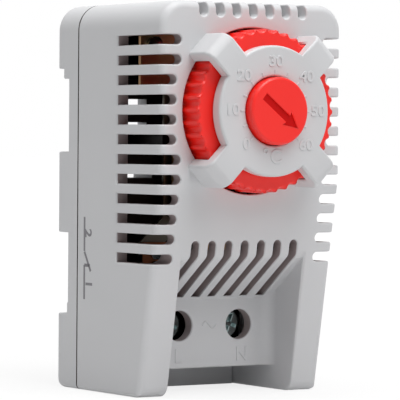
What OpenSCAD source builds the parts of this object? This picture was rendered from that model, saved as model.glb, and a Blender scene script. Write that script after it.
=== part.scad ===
// DIN rail thermostat: a small case with a guarded setting knob, a bimetal
// snap switch and two cage clamp terminals. Sizes are in millimetres.
// Sizes are worked out in the case frame: X = 0 is the middle of the case,
// Y = 0 its front face and Z = 0 its bottom. Every piece is then placed so
// that the origin is the middle of the rail, in the plane of its flanges.

/* [Case] */
// Width of the case
case_w = 33; // [32:0.5:38]
// Height of the case
case_h = 60; // [59.5:0.5:66]
// Depth of the front cover, from the front face to the seam
case_d = 24.4; // [24:0.2:28]
// Thickness of the cover's walls
wall = 2; // [1.6:0.1:2.2]
// Radius of the two top corners, seen from the front
corner_r = 4; // [2:0.5:5]
// Radius of the two bottom corners, seen from the front
foot_r = 0.8; // [0.4:0.1:1.2]
// Radius along the front edges
edge_r = 1.2; // [0.6:0.1:1.6]
// Distance from the top down to where the front begins to lean back
bend_drop = 27; // [26:0.5:29]
// How far the front lies back at the bottom
lean = 6; // [4:0.5:7]
// Radius of the bottom front corners, seen from the side
toe_r = 2; // [1:0.5:3]

/* [Vent slots] */
// Distance from one slot to the next
slot_pitch = 3; // [2.8:0.1:3.1]
// Width of the slots in the sides and the top
slot_w = 1.5; // [1.2:0.1:1.8]
// Number of slots in each side
side_slots = 12; // [8:1:12]
// Height left above the first side slot, to its middle
side_slot_drop = 5.9; // [5:0.1:7]
// Depth at which the side slots end
side_slot_d = 12.7; // [9:0.1:14]
// Bare front face between the slots' inner ends, to each side of the middle
slot_reach = 12.9; // [12.7:0.1:13.5]
// The same beside the wheel's opening, where the slots end earlier
near_reach = 13.7; // [13.5:0.1:14.2]
// Number of slots in the top and above the terminals
front_slots = 7; // [5:1:7]
// Length of the top slots down the front face
top_slot_len = 2.3; // [1.5:0.1:3]
// Width of the slots above the terminals
low_slot_w = 1.4; // [1.1:0.1:1.7]
// Height of the upper end of the slots above the terminals
low_slot_top = 23.8; // [23:0.2:26]
// Height of their lower end
low_slot_end = 14.8; // [14.6:0.1:17]

/* [Dial guard] */
// Distance from the top down to the dial's centre
dial_drop = 16.5; // [15.6:0.1:16.7]
// Radius of the numbered disc
disc_r = 9.9; // [9:0.1:10.5]
// Thickness of the disc and of its arms
disc_t = 2.2; // [1.8:0.1:2.6]
// Height of the disc's face over the front of the case
disc_lift = 5.9; // [5.6:0.1:6.5]
// Width of the four arms
arm_w = 4.7; // [4:0.1:6]
// Distance from the dial's centre to the end of an arm
arm_reach = 14.3; // [13.6:0.1:14.6]
// Radius of the bend at the end of an arm
arm_bend_r = 1.9; // [1:0.1:2.1]
// Radius of the opening for the wheel
opening_r = 12.65; // [12.5:0.05:12.8]

/* [Setting knob] */
// Radius of the finger wheel
wheel_r = 12.4; // [11.8:0.1:12.4]
// Number of grip flutes round the wheel
flutes = 40; // [30:1:44]
// Radius of one flute
flute_r = 0.8; // [0.6:0.1:0.9]
// Depth of the flutes
flute_d = 0.45; // [0.2:0.05:0.5]
// Radius of the button that comes through the disc
button_r = 5.1; // [4.8:0.1:5.6]
// Height of the button's face over the front of the case
button_lift = 7.4; // [6.8:0.1:8.5]
// Chamfer round the button's face
button_chamfer = 0.25; // [0.15:0.05:0.8]
// Depth of the arrow in the button
arrow_d = 0.3; // [0.15:0.05:0.5]
// Radius of the spindle where it turns in its bearing
spindle_r = 1.95; // [1.6:0.05:2.2]

/* [Terminals] */
// Half the width of the terminal recess
recess_half = 11.3; // [10.5:0.1:11.5]
// Depth of the terminal face behind the front of the case
face_d = 11.7; // [11:0.1:12]
// Height at which the terminal face meets the ramp
face_top = 14.4; // [14.2:0.1:15]
// Height at which the ramp meets the front face
ramp_top = 21.3; // [20.8:0.1:22]
// Height of the terminal block's underside
block_h = 3.7; // [3.2:0.1:4]
// Radius of the hollow corners in the recess
recess_r = 2; // [1:0.25:2.5]
// Distance between the two terminal screws
screw_gap = 11; // [10.6:0.1:11.6]
// Height of the terminal screws
screw_h = 10.3; // [10:0.1:10.6]
// Radius of the screwdriver holes
driver_r = 2.35; // [2.2:0.05:2.6]
// Depth of the screw heads behind the terminal face
head_sink = 3; // [2.6:0.1:3.2]
// Width of a wire entry
wire_w = 4.6; // [4:0.1:4.8]

/* [Contacts] */
// Thickness of the contact arm and of the bimetal strip
strip_t = 0.5; // [0.3:0.05:0.55]
// Width of the bimetal strip
bimetal_w = 7; // [6:0.2:7.6]
// Width of the contact arm
contact_arm_w = 5.2; // [4.6:0.2:6]
// Thickness of the terminal bars
bar_t = 0.8; // [0.6:0.05:0.9]
// Width of the terminal bars
bar_w = 4.6; // [4:0.1:4.8]
// Space between the bars and the carrier's floor
bar_seat_d = 3.1; // [3:0.1:3.4]

/* [Rail seat] */
// Height of the rail's middle over the middle of the case
rail_up = 1; // [0.5:0.25:1.5]
// Width of the rail, from flange edge to flange edge
rail_w = 35; // [34.8:0.1:35.2]
// Thickness of the base plate
base_t = 2.9; // [2.6:0.1:3.4]
// Depth of the top foot behind the rail's flanges
pad_d = 3.1; // [2.6:0.1:3.4]
// Width of the rail hook and of the latch
hook_w = 16; // [12:0.5:20]
// Reach of the hook and of the latch behind a flange
hook_reach = 1.9; // [1.5:0.1:2.2]
// Thickness of the flange that the hook takes
flange_room = 1.2; // [1.1:0.05:1.3]

/* [Hidden] */
$fn = 64;
// One overrun serves every cut
over = 0.5;
// Gap between faces that move past each other, and a loose seat
slip = 0.05;
seat_gap = 0.2;
half_w = case_w / 2;
inner_half = half_w - wall;
seam_y = case_d;
bend_h = case_h - bend_drop;
dial_h = case_h - dial_drop;
rail_mid = case_h / 2 + rail_up;
rail_y = seam_y + base_t;
// Shadow line round the rim of the cover, in front of the seam
seam_gap = 0.3;
seam_d = 0.8;
flange_gap = 0.02;

// The front's lean, from the bend down to the bottom
lean_angle = atan(lean / bend_h);
function front_at(z) = z < bend_h ? lean * (bend_h - z) / bend_h : 0;
// The ramp runs from the front face back and down to the terminal face
ramp_y = front_at(ramp_top);
ramp_angle = atan((ramp_top - face_top) / (face_d - ramp_y));
block_t = 1.5;
chamber_y = face_d + wall;
chamber_h = block_h + block_t;
cheek_wall = 1.6;

// Dial guard, front to back
disc_y = -disc_lift;
disc_back = disc_y + disc_t;
arm_lead = 0.05;
button_gap = 0.09;
ring_gap = 0.2;

// Setting knob, front to back
button_y = -button_lift;
wheel_gap = 0.1;
wheel_y = disc_back + wheel_gap;
wheel_t = 5.2;
wheel_back = wheel_y + wheel_t;
hub_r = 3.8;
hub_len = 3.2;
hub_back = wheel_back + hub_len;
wheel_rim_t = 1.5;
wheel_web_t = 2;

// Bearing bridge, washer, retaining ring, spindle and nut, front to back
washer_t = 0.4;
washer_r = 3.6;
bridge_y = hub_back + washer_t + 2 * slip;
bridge_t = 2;
bridge_back = bridge_y + bridge_t;
ring_t = 0.4;
ring_r = 3;
groove_d = 0.35;
collar_t = 0.25;
collar_back = bridge_back + 2 * slip + ring_t + collar_t;
thread_r = 1.45;
nut_travel = 0.6;
nut_clear = 0.68;
nut_y = collar_back + nut_travel + nut_clear;
nut_half = 3;
nut_half_h = 2.3;
nut_wall = 1.2;
nut_back = nut_y + 2 * nut_half_h + nut_wall;
nut_tip_r = 1.3;
prong_t = 1.25;
prong_half_h = 1.55;

// Carrier, seam and contact planes, back to front
lip_t = 1.2;
lip_d = 1.6;
floor_t = 1.5;
floor_back = seam_y - slip;
floor_y = floor_back - floor_t;
bar_back = floor_y - bar_seat_d;
bar_y = bar_back - bar_t;
arm_back = bar_y - slip;
arm_y = arm_back - strip_t;
bimetal_y = bar_back + slip;
bimetal_back = bimetal_y + strip_t;
carrier_half = inner_half - seat_gap - lip_t - seat_gap;
carrier_low = chamber_h + seat_gap + lip_t + seat_gap;
carrier_top = case_h - wall - seat_gap - lip_t - seat_gap;
post_w = 2;
window_rim = 3.4;
window_half = carrier_half - window_rim;
window_over = 5;
window_top = dial_h + window_over;
bridge_drop = 5.5;
bridge_post_low = dial_h - bridge_drop;
bridge_post_h = 2.2;

// Terminal cages, bars and the carrier's seats under the strips, from the bottom up
screw_x = screw_gap / 2;
cage_h = 5;
bar_under = 1.4;
bar_low = screw_h - cage_h / 2 - bar_under;
seat_over = 0.5;
seat_low = screw_h + cage_h / 2 + seat_over;
seat_h = 3.2;
seat_top = seat_low + seat_h;

// Heights of the strips, the contacts and the magnet
root_gap = 0.5;
root_h = 6;
dogleg_h = 4;
root_low = seat_top + root_gap;
root_top = root_low + root_h;
dogleg_top = root_top + dogleg_h;
window_step = 2;
window_low = root_top + window_step;
contact_rise = 3.8;
contact_h = dial_h + contact_rise;
contact_r = 1.2;
contact_t = 0.45;
shank_r = 0.6;
arm_over = 2;
arm_top = contact_h + arm_over;
magnet_step = 1.3;
magnet_low = arm_top + magnet_step;
magnet_hgt = 4;
magnet_w = 6;
magnet_top = magnet_low + magnet_hgt;
bimetal_over = 0.4;
bimetal_top = magnet_top + bimetal_over;
armature_t = 0.5;
magnet_gap = 0.25;
armature_y = bimetal_y - armature_t;
magnet_back = armature_y - magnet_gap;
magnet_t = 1.9;
magnet_y = magnet_back - magnet_t;
rivet_rise = 2;
rivet_pitch = 2.4;
rivet_h1 = root_low + rivet_rise;
rivet_h2 = rivet_h1 + rivet_pitch;
rivet_head_r = 1.1;
rivet_head_t = 0.4;
rivet_slack = 0.2;
rivet_hole_gap = 0.15;

// Magnet bracket: a hat section of strip, its wings on the carrier's posts
bracket_t = 0.6;
bracket_under = 0.6;
bracket_over = 0.7;
bracket_low = magnet_low - bracket_under;
bracket_top = magnet_top + bracket_over;
bracket_gap = 2.3;
bracket_half = carrier_half - post_w - bracket_gap;
bracket_d = 7.55;
wing_y = magnet_y - bracket_d;
wing_half = inner_half - seat_gap - 2 * slip;
wing_drop = 3.2;
wing_low = bracket_low - wing_drop;
post_drop = 3.3;
bracket_post_low = bracket_top - post_drop;
bracket_post_h = 3;
bracket_screw_x = carrier_half - post_w / 2;
bracket_screw_h = bracket_post_low + bracket_post_h / 2;
bracket_head_r = 1.3;
bracket_head_t = 0.7;
bracket_shank_r = 0.7;
bracket_shank_len = 4;

// Terminal screws and their cages, front to back
head_r = 2.15;
head_t = 1.4;
head_y = face_d + head_sink;
head_back = head_y + head_t;
shaft_r = 1.45;
cross_w = 0.6;
cross_len = 3.1;
cross_d = 0.8;
cage_front_t = 1;
cage_back_t = 0.8;
cage_side_t = 0.75;
cage_travel = bar_y - slip - cage_front_t - head_back - slip;
cage_y = bar_y - slip - cage_front_t;
cage_play = 0.04;
cage_room = bar_t + 2 * slip + cage_play + cage_travel;
cage_side_gap = 0.15;
cage_inner_w = bar_w + 2 * cage_side_gap;
wire_lap = 0.5;
wire_y = bar_back - wire_lap;
wire_d = 3;
partition_t = 1.6;
partition_gap = 0.5;
partition_y = chamber_y + partition_gap;

// Base plate, feet, hook and latch, from the bottom up
flange_low = rail_mid - rail_w / 2;
flange_top = rail_mid + rail_w / 2;
foot_step = 0.3;
foot_d = pad_d - foot_step;
foot_gap = 1.8;
foot_top = flange_low - foot_gap;
mid_foot_step = 0.2;
mid_foot_d = pad_d - mid_foot_step;
mid_foot_under = 6.6;
mid_foot_over = 6.1;
mid_foot_low = rail_mid - mid_foot_under;
mid_foot_top = rail_mid + mid_foot_over;
ledge_h = 1.6;
top_foot_low = flange_top + ledge_h;
ledge_d = 1.6;
sill_d = 0.25;
heel_r = 1.5;
vent_h = 1.5;
vent_in = 3.9;
vent_out = 7.3;
vent_rise = 9.3;
vent_step = 3.65;
vent_low = rail_mid + vent_rise;
vent_high = vent_low + vent_step;
foot_vent_in = 2.8;
foot_vent_out = 8;
foot_vent_rise = 2;
foot_vent_low = rail_mid + foot_vent_rise;
back_wall_d = 2.4;
back_wall_y = seam_y - back_wall_d;
back_wall_half = recess_half - seat_gap;
latch_lift = 1;
latch_travel = 2.3;
latch_inset = 3;
latch_half = hook_w / 2 - latch_inset;
latch_ear = 1.2;
latch_ear_in = 0.35;
latch_ear_y = rail_y + latch_ear_in;
latch_ear_t = 0.85;
latch_body_y = rail_y + flange_room;
latch_back = rail_y + foot_d - 2 * slip;
latch_ear_drop = 0.9;
latch_ear_top = foot_top - latch_ear_drop;
latch_gap = 0.15;
latch_notch_w = 4;
latch_notch_h = 1.4;
latch_notch_d = 0.6;

// Coil spring in its pocket behind the latch
spring_r = 1.1;
wire_r = 0.2;
spring_curls = 6.5;
rings_per_curl = 8;
wire_sides = 6;
spring_in = 1.1;
spring_y = rail_y - spring_in;
pocket_low = 2.2;
pocket_half = 1.55;
pocket_front = spring_y - spring_r - wire_r - latch_gap;
spring_room = 6.8;
tongue_low = pocket_low + spring_room;
tongue_t = 1.2;
pocket_top = tongue_low + tongue_t + seat_gap;
spring_low = pocket_low + wire_r + slip;
spring_high = tongue_low - wire_r - slip;
spring_pitch = (spring_high - spring_low) / spring_curls;
echo(least_gap_of_spring = spring_pitch - 2 * wire_r);

// Moves the case frame to the rail frame
module from_rail() {
  translate([0, -rail_y, -rail_mid]) children();
}

// Extrudes a drawing in X and Z from depth y0 to depth y1
module deep(y0, y1) {
  translate([0, y1, 0]) rotate([90, 0, 0]) linear_extrude(y1 - y0) children();
}

// Extrudes a drawing in Y and Z from x0 to x1
module across(x0, x1) {
  translate([x0, 0, 0]) rotate([90, 0, 90]) linear_extrude(x1 - x0) children();
}

// A box between two corners
module block(low, high) {
  translate(low) cube(high - low);
}

// A round bar along Y
module rod(x, z, r, y0, y1) {
  deep(y0, y1) translate([x, z]) circle(r);
}

// Turns a drawing of radius and height round the dial's axis, heights to the front
module turned() {
  translate([0, 0, dial_h]) rotate([90, 0, 0]) rotate_extrude() children();
}

// Repeats a piece on the left and on the right
module both_sides() {
  children();
  mirror([1, 0, 0]) children();
}

// What a fillet of radius r takes off a square corner at the origin
module corner_off(r) {
  difference() {
    translate([-over, -over]) square(r + over);
    translate([r, r]) circle(r);
  }
}

// Front outline of the case, its top corners rounded more than its feet
module outline(half, low, high, top_r, low_r) {
  difference() {
    translate([-half, low]) square([2 * half, high - low]);
    for (side = [-1, 1]) {
      translate([side * half, high]) scale([-side, -1]) corner_off(top_r);
      translate([side * half, low]) scale([-side, 1]) corner_off(low_r);
    }
  }
}

// Side outline of the cover, with its lean and its rounded toe
module side_outline() {
  toe_y = lean - toe_r * tan(lean_angle) + toe_r / cos(lean_angle);
  difference() {
    polygon([[0, case_h], [0, bend_h], [lean, 0], [seam_y, 0], [seam_y, case_h]]);
    difference() {
      polygon([[lean - over, -over], [toe_y, -over], [toe_y, toe_r],
        [toe_y - toe_r * cos(lean_angle), toe_r - toe_r * sin(lean_angle)],
        [lean - over - toe_r * sin(lean_angle), toe_r - toe_r * sin(lean_angle)]]);
      translate([toe_y, toe_r]) circle(toe_r);
    }
  }
}

// What rounds the left front edge: up the face, round the corner, along the top
module edge_off() {
  reach = 2 * case_h;
  // straight part, cut off half way to the lean
  intersection() {
    translate([-half_w, 0, bend_h - over]) linear_extrude(case_h - corner_r - bend_h + over)
      corner_off(edge_r);
    translate([-case_w, 0, bend_h]) rotate([lean_angle / 2, 0, 0])
      translate([0, -reach, 0]) cube([case_w, 2 * reach, reach]);
  }
  // the same profile along the lean
  intersection() {
    translate([-half_w, 0, bend_h]) rotate([lean_angle, 0, 0])
      translate([0, 0, -reach]) linear_extrude(reach + over) corner_off(edge_r);
    translate([-case_w, 0, bend_h]) rotate([lean_angle / 2, 0, 0])
      translate([0, -reach, -reach]) cube([case_w, 2 * reach, reach]);
  }
  // round the top corner
  translate([-half_w + corner_r, 0, case_h - corner_r]) mirror([1, 0, 0])
    rotate([-90, 0, 0]) rotate_extrude(angle = -90) mirror([1, 0])
      translate([-corner_r, 0]) corner_off(edge_r);
  // along the top
  translate([-half_w + corner_r, 0, case_h]) rotate([0, 90, 0])
    linear_extrude(half_w - corner_r + over) corner_off(edge_r);
}

// Plan of the terminal recess, with its two hollow corners
module recess_plan() {
  difference() {
    translate([-recess_half, -over]) square([2 * recess_half, face_d + over]);
    for (side = [-1, 1])
      translate([side * recess_half, face_d]) scale([-side, -1]) corner_off(recess_r);
  }
}

// The recess lies in front of the terminal face and below the ramp
module recess() {
  rise = tan(ramp_angle);
  intersection() {
    linear_extrude(bend_h) recess_plan();
    across(-half_w, half_w) polygon([[-over, -over], [face_d + over, -over],
      [face_d + over, face_top - over * rise], [-over, ramp_top + (ramp_y + over) * rise]]);
  }
  block([-recess_half, -over, -over], [recess_half, seam_y + over, block_h]);
}

// Inside of the cover behind the front wall, the ramp and the terminal face
module hollow_outline() {
  rise = wall / cos(ramp_angle) - wall * tan(ramp_angle);
  knee = ramp_top + rise / (1 - tan(lean_angle) * tan(ramp_angle));
  elbow = face_top + rise;
  polygon([[wall, case_h - wall], [wall, bend_h], [wall + front_at(knee), knee],
    [chamber_y, elbow], [chamber_y, chamber_h], [seam_y + over, chamber_h],
    [seam_y + over, case_h - wall]]);
}

module side_slot(z) {
  reach = abs(z - dial_h) < opening_r / 2 ? near_reach : slot_reach;
  block([-half_w - over, wall, z - slot_w / 2], [-inner_half + over, side_slot_d, z + slot_w / 2]);
  deep(-over, wall + lean + over) {
    translate([-half_w - over, z - slot_w / 2]) square([half_w + over - reach - slot_w / 2, slot_w]);
    translate([-reach - slot_w / 2, z]) circle(slot_w / 2);
  }
}

module top_slot(x) {
  block([x - slot_w / 2, wall, case_h - wall - over], [x + slot_w / 2, side_slot_d, case_h + over]);
  deep(-over, wall + over) {
    translate([x - slot_w / 2, case_h - top_slot_len + slot_w / 2])
      square([slot_w, top_slot_len + over]);
    translate([x, case_h - top_slot_len + slot_w / 2]) circle(slot_w / 2);
  }
}

module low_slot(x) {
  deep(-over, chamber_y - over) {
    translate([x - low_slot_w / 2, low_slot_end])
      square([low_slot_w, low_slot_top - low_slot_end - low_slot_w / 2]);
    translate([x, low_slot_top - low_slot_w / 2]) circle(low_slot_w / 2);
  }
}

// Two of the guard's arms, in line through the dial's centre, bent down at their ends
module guard_arms() {
  linear_extrude(arm_w, center = true) difference() {
    translate([-arm_reach, -over]) square([2 * arm_reach, disc_lift + arm_lead + over]);
    for (side = [-1, 1])
      translate([side * arm_reach, disc_lift + arm_lead]) scale([-side, -1]) corner_off(arm_bend_r);
  }
}

// The numbered disc and its arms, all cut level with the disc's face
module guard() {
  intersection() {
    union() {
      rod(0, dial_h, disc_r, disc_y - over, over);
      translate([0, 0, dial_h]) for (turn = [45, 135]) rotate([0, turn, 0])
        mirror([0, 1, 0]) guard_arms();
    }
    rod(0, dial_h, 2 * arm_reach, disc_y, wall / 2);
  }
}

module cover_shell() {
  difference() {
    intersection() {
      across(-half_w, half_w) side_outline();
      deep(-over, seam_y + over) outline(half_w, 0, case_h, corner_r, foot_r);
    }
    both_sides() edge_off();
    difference() {
      deep(seam_y - seam_gap, seam_y + over)
        outline(half_w + over, -over, case_h + over, corner_r, foot_r);
      deep(case_d / 2, seam_y + 2 * over) outline(half_w - seam_d, seam_d,
        case_h - seam_d, corner_r - seam_d, foot_r / 2);
    }
    intersection() {
      across(-inner_half, inner_half) hollow_outline();
      deep(0, seam_y + over)
        outline(inner_half, chamber_h, case_h - wall, corner_r - wall / 2, foot_r / 2);
    }
    // cores that hollow the two cheeks beside the recess
    both_sides() block([-inner_half, face_d - wall, wall],
      [-recess_half - cheek_wall, seam_y + over, ramp_top - wall]);
    recess();
    for (row = [0:side_slots - 1])
      both_sides() side_slot(case_h - side_slot_drop - row * slot_pitch);
    for (col = [0:front_slots - 1]) {
      top_slot((col - (front_slots - 1) / 2) * slot_pitch);
      low_slot((col - (front_slots - 1) / 2) * slot_pitch);
    }
    for (side = [-1, 1]) {
      rod(side * screw_x, screw_h, driver_r, face_d - over, chamber_y + over);
      block([side * screw_x - wire_w / 2, wire_y, block_h - over],
        [side * screw_x + wire_w / 2, wire_y + wire_d, chamber_h + over]);
    }
  }
}

module front_cover() {
  color("gainsboro") from_rail() difference() {
    union() {
      cover_shell();
      guard();
    }
    // room for the wheel, and the hole that the button comes through
    rod(0, dial_h, opening_r, disc_back, wall + over);
    rod(0, dial_h, button_r + button_gap, disc_y - over, disc_back + over);
  }
}

// Side outline of the base: plate, feet, ledge and sill, and a rounded heel
module base_outline() {
  difference() {
    polygon([[seam_y, 0], [rail_y + foot_d, 0], [rail_y + foot_d, foot_top],
      [rail_y + sill_d, foot_top], [rail_y + sill_d, flange_low], [rail_y, flange_low],
      [rail_y, mid_foot_low], [rail_y + mid_foot_d, mid_foot_low],
      [rail_y + mid_foot_d, mid_foot_top], [rail_y, mid_foot_top], [rail_y, flange_top],
      [rail_y + ledge_d, flange_top], [rail_y + ledge_d, top_foot_low],
      [rail_y + pad_d, top_foot_low], [rail_y + pad_d, case_h], [seam_y, case_h]]);
    translate([rail_y + foot_d, 0]) scale([-1, 1]) corner_off(heel_r);
  }
}

// The latch's channel, open at the bottom and the back
module latch_channel(gap) {
  block([-latch_half - latch_ear - gap, latch_ear_y - gap, -over],
    [latch_half + latch_ear + gap, latch_ear_y + latch_ear_t + gap, foot_top + over]);
  block([-latch_half - gap, latch_ear_y, -over],
    [latch_half + gap, rail_y + foot_d + over, foot_top + over]);
}

module rear_base() {
  color("gainsboro") from_rail() difference() {
    union() {
      intersection() {
        across(-half_w, half_w) base_outline();
        deep(seam_y - over, rail_y + pad_d + over) outline(half_w, 0, case_h, corner_r, foot_r);
      }
      // lip that seats the cover
      difference() {
        deep(seam_y - lip_d, seam_y + over) outline(inner_half - seat_gap,
          chamber_h + seat_gap, case_h - wall - seat_gap, corner_r - wall / 2, foot_r / 2);
        block([-inner_half + seat_gap + lip_t, seam_y - lip_d - over, chamber_h + seat_gap + lip_t],
          [inner_half - seat_gap - lip_t, seam_y, case_h - wall - seat_gap - lip_t]);
      }
      // wall behind the wire entries
      block([-back_wall_half, back_wall_y, 0], [back_wall_half, seam_y + over, block_h - slip]);
      // hook behind the rail's upper flange
      block([-hook_w / 2, rail_y + flange_room, flange_top - hook_reach],
        [hook_w / 2, rail_y + pad_d, top_foot_low + over]);
    }
    latch_channel(latch_gap);
    block([-pocket_half, pocket_front, pocket_low], [pocket_half, rail_y + over, pocket_top]);
    // air holes: a pair over the middle foot and one through it
    for (z = [vent_low, vent_high]) both_sides()
      block([vent_in, seam_y - over, z], [vent_out, rail_y + over, z + vent_h]);
    both_sides() block([foot_vent_in, seam_y - over, foot_vent_low],
      [foot_vent_out, rail_y + mid_foot_d + over, foot_vent_low + vent_h]);
  }
}

module inner_frame() {
  color("dimgray") from_rail() difference() {
    union() {
      block([-carrier_half, floor_y, carrier_low], [carrier_half, floor_back, carrier_top]);
      // seats of the terminal bars and the wall between the terminals
      both_sides() block([screw_x - bar_w / 2, bar_back, seat_low],
        [screw_x + bar_w / 2, floor_back, seat_top]);
      block([-partition_t / 2, partition_y, carrier_low], [partition_t / 2, floor_back, seat_top]);
      // posts of the magnet bracket and of the bearing bridge
      both_sides() {
        block([carrier_half - post_w, wing_y + bracket_t, bracket_post_low],
          [carrier_half, floor_back, bracket_post_low + bracket_post_h]);
        block([carrier_half - post_w, bridge_y, bridge_post_low],
          [carrier_half, floor_back, bridge_post_low + bridge_post_h]);
        block([nut_half + latch_gap, bridge_y, dial_h - prong_half_h],
          [nut_half + latch_gap + prong_t, nut_y + 2 * nut_half_h, dial_h + prong_half_h]);
      }
      block([-carrier_half, bridge_y, bridge_post_low],
        [carrier_half, bridge_back, bridge_post_low + bridge_post_h]);
      block([-nut_half, bridge_y, bridge_post_low], [nut_half, bridge_back, dial_h]);
      rod(0, dial_h, nut_half + latch_gap + prong_t, bridge_y, bridge_back);
    }
    rod(0, dial_h, spindle_r + slip, bridge_y - over, bridge_back + over);
    block([-window_half, floor_y - over, window_low], [window_half, floor_back + over, window_top]);
    both_sides() rod(bracket_screw_x, bracket_screw_h, bracket_shank_r, wing_y,
      wing_y + bracket_t + bracket_shank_len);
  }
}

// The arrow, as shares of the button's radius, pointing right
arrow_shares = [[-0.69, -0.115], [0.37, -0.115], [0.33, -0.24], [0.8, 0],
  [0.33, 0.24], [0.37, 0.115], [-0.69, 0.115]];
arrow_turn = -38.5;

module setting_knob() {
  color("red") from_rail() difference() {
    union() {
      // middle of the wheel, button and hub in one turning
      turned() polygon([[0, -hub_back], [hub_r, -hub_back], [hub_r, -wheel_back],
        [wheel_r - flute_d - over, -wheel_back], [wheel_r - flute_d - over, -wheel_y],
        [button_r, -wheel_y], [button_r, button_lift - button_chamfer],
        [button_r - button_chamfer, button_lift], [0, button_lift]]);
      // fluted rim, a crest on each side at the height of the axis
      deep(wheel_y, wheel_back) translate([0, dial_h]) difference() {
        circle(wheel_r);
        for (n = [0:flutes - 1]) rotate((n + 1 / 2) * 360 / flutes)
          translate([wheel_r - flute_d + flute_r, 0]) circle(flute_r);
      }
    }
    // the wheel is hollow from behind, and the spindle is pressed into the hub
    turned() translate([hub_r, -wheel_back - over])
      square([wheel_r - flute_d - wheel_rim_t - hub_r, wheel_back - wheel_y - wheel_web_t + over]);
    rod(0, dial_h, spindle_r, wheel_y, hub_back + over);
    translate([0, 0, dial_h]) deep(button_y - over, button_y + arrow_d) rotate(arrow_turn)
      polygon([for (p = arrow_shares) p * button_r]);
  }
}

module setting_spindle() {
  color("goldenrod") from_rail() turned() polygon([[0, -wheel_y], [spindle_r, -wheel_y],
    [spindle_r, -bridge_back - slip], [spindle_r - groove_d, -bridge_back - slip],
    [spindle_r - groove_d, -bridge_back - 3 * slip - ring_t],
    [spindle_r, -bridge_back - 3 * slip - ring_t], [spindle_r, -collar_back],
    [thread_r, -collar_back], [thread_r, -nut_y - 2 * nut_half_h + nut_travel],
    [0, -nut_y - 2 * nut_half_h + nut_travel]]);
}

module retaining_ring() {
  color("slategray") from_rail() turned()
    translate([spindle_r - groove_d, -bridge_back - 2 * slip - ring_t])
      square([ring_r - spindle_r + groove_d, ring_t]);
}

module friction_washer() {
  color("silver") from_rail() turned()
    translate([spindle_r + ring_gap, -bridge_y + slip])
      square([washer_r - spindle_r - ring_gap, washer_t]);
}

// Plane in which the nut's tip meets the calibration screw
tip_len = 1.4;
tip_y = arm_y - tip_len;

module setting_nut() {
  color("ivory") from_rail() difference() {
    union() {
      block([-nut_half, nut_y, dial_h - nut_half_h], [nut_half, nut_back, dial_h + nut_half_h]);
      rod(0, dial_h, nut_tip_r, nut_back - over, tip_y - flange_gap);
    }
    rod(0, dial_h, thread_r + slip, nut_y - over, nut_y + 2 * nut_half_h + slip);
  }
}

// A strip that stands on a terminal bar and steps over to the middle
module strip_outline(x, w, top) {
  root = bar_w / 2;
  polygon([[x - root, root_low], [x + root, root_low], [x + root, root_top],
    [w / 2, dogleg_top], [w / 2, top], [-w / 2, top], [-w / 2, dogleg_top], [x - root, root_top]]);
}

module contact_arm() {
  color("peru") from_rail() difference() {
    deep(arm_y, arm_back) strip_outline(screw_x, contact_arm_w, arm_top);
    for (z = [rivet_h1, rivet_h2]) rod(screw_x, z, shank_r, arm_y - over, arm_back + over);
    rod(0, contact_h, shank_r, arm_y - over, arm_back + over);
    rod(0, dial_h, calibration_r, arm_y - over, arm_back + over);
  }
}

module arm_rivets() {
  color("silver") from_rail() for (z = [rivet_h1, rivet_h2]) {
    rod(screw_x, z, rivet_head_r, arm_y - rivet_head_t, arm_y);
    rod(screw_x, z, shank_r, arm_y, bar_back + rivet_slack);
    rod(screw_x, z, rivet_head_r, bar_back + rivet_slack, bar_back + rivet_slack + rivet_head_t);
  }
}

module fixed_contact() {
  color("silver") from_rail() {
    rod(0, contact_h, contact_r, arm_back, bimetal_y - contact_t - slip);
    rod(0, contact_h, shank_r, arm_y, arm_back);
    rod(0, contact_h, contact_r - ring_gap, arm_y - contact_t, arm_y);
  }
}

calibration_r = 0.9;
calibration_head_r = 1.5;
calibration_head_t = 0.5;
calibration_slot_w = 0.35;
calibration_slot_d = 0.3;

module calibration_screw() {
  color("goldenrod") from_rail() difference() {
    union() {
      rod(0, dial_h, calibration_r, tip_y, arm_back);
      rod(0, dial_h, calibration_head_r, arm_back, arm_back + calibration_head_t);
    }
    block([-calibration_head_r, arm_back + calibration_head_t - calibration_slot_d,
      dial_h - calibration_slot_w / 2],
      [calibration_head_r, arm_back + calibration_head_t + over, dial_h + calibration_slot_w / 2]);
  }
}

module bimetal_strip() {
  color("darkgray") from_rail() difference() {
    deep(bimetal_y, bimetal_back) strip_outline(-screw_x, bimetal_w, bimetal_top);
    for (z = [rivet_h1, rivet_h2]) rod(-screw_x, z, shank_r, bimetal_y - over, bimetal_back + over);
    rod(0, contact_h, shank_r, bimetal_y - over, bimetal_back + over);
    // way for the screwdriver that sets the calibration screw
    rod(0, dial_h, calibration_head_r + ring_gap, bimetal_y - over, bimetal_back + over);
  }
}

module bimetal_rivets() {
  color("silver") from_rail() for (z = [rivet_h1, rivet_h2]) {
    rod(-screw_x, z, rivet_head_r, bimetal_back, bimetal_back + rivet_head_t);
    rod(-screw_x, z, shank_r, bar_y - rivet_slack, bimetal_back);
    rod(-screw_x, z, rivet_head_r, bar_y - rivet_slack - rivet_head_t, bar_y - rivet_slack);
  }
}

module moving_contact() {
  color("silver") from_rail() {
    rod(0, contact_h, contact_r, bimetal_y - contact_t, bimetal_y);
    rod(0, contact_h, shank_r, bimetal_y, bimetal_back);
    rod(0, contact_h, contact_r - ring_gap, bimetal_back, bimetal_back + contact_t);
  }
}

module armature_plate() {
  color("slategray") from_rail() block([-magnet_w / 2, armature_y, magnet_low],
    [magnet_w / 2, bimetal_y, magnet_low + magnet_hgt]);
}

module snap_magnet() {
  color("dimgray") from_rail() block([-magnet_w / 2, magnet_y, magnet_low],
    [magnet_w / 2, magnet_back, magnet_low + magnet_hgt]);
}

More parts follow.
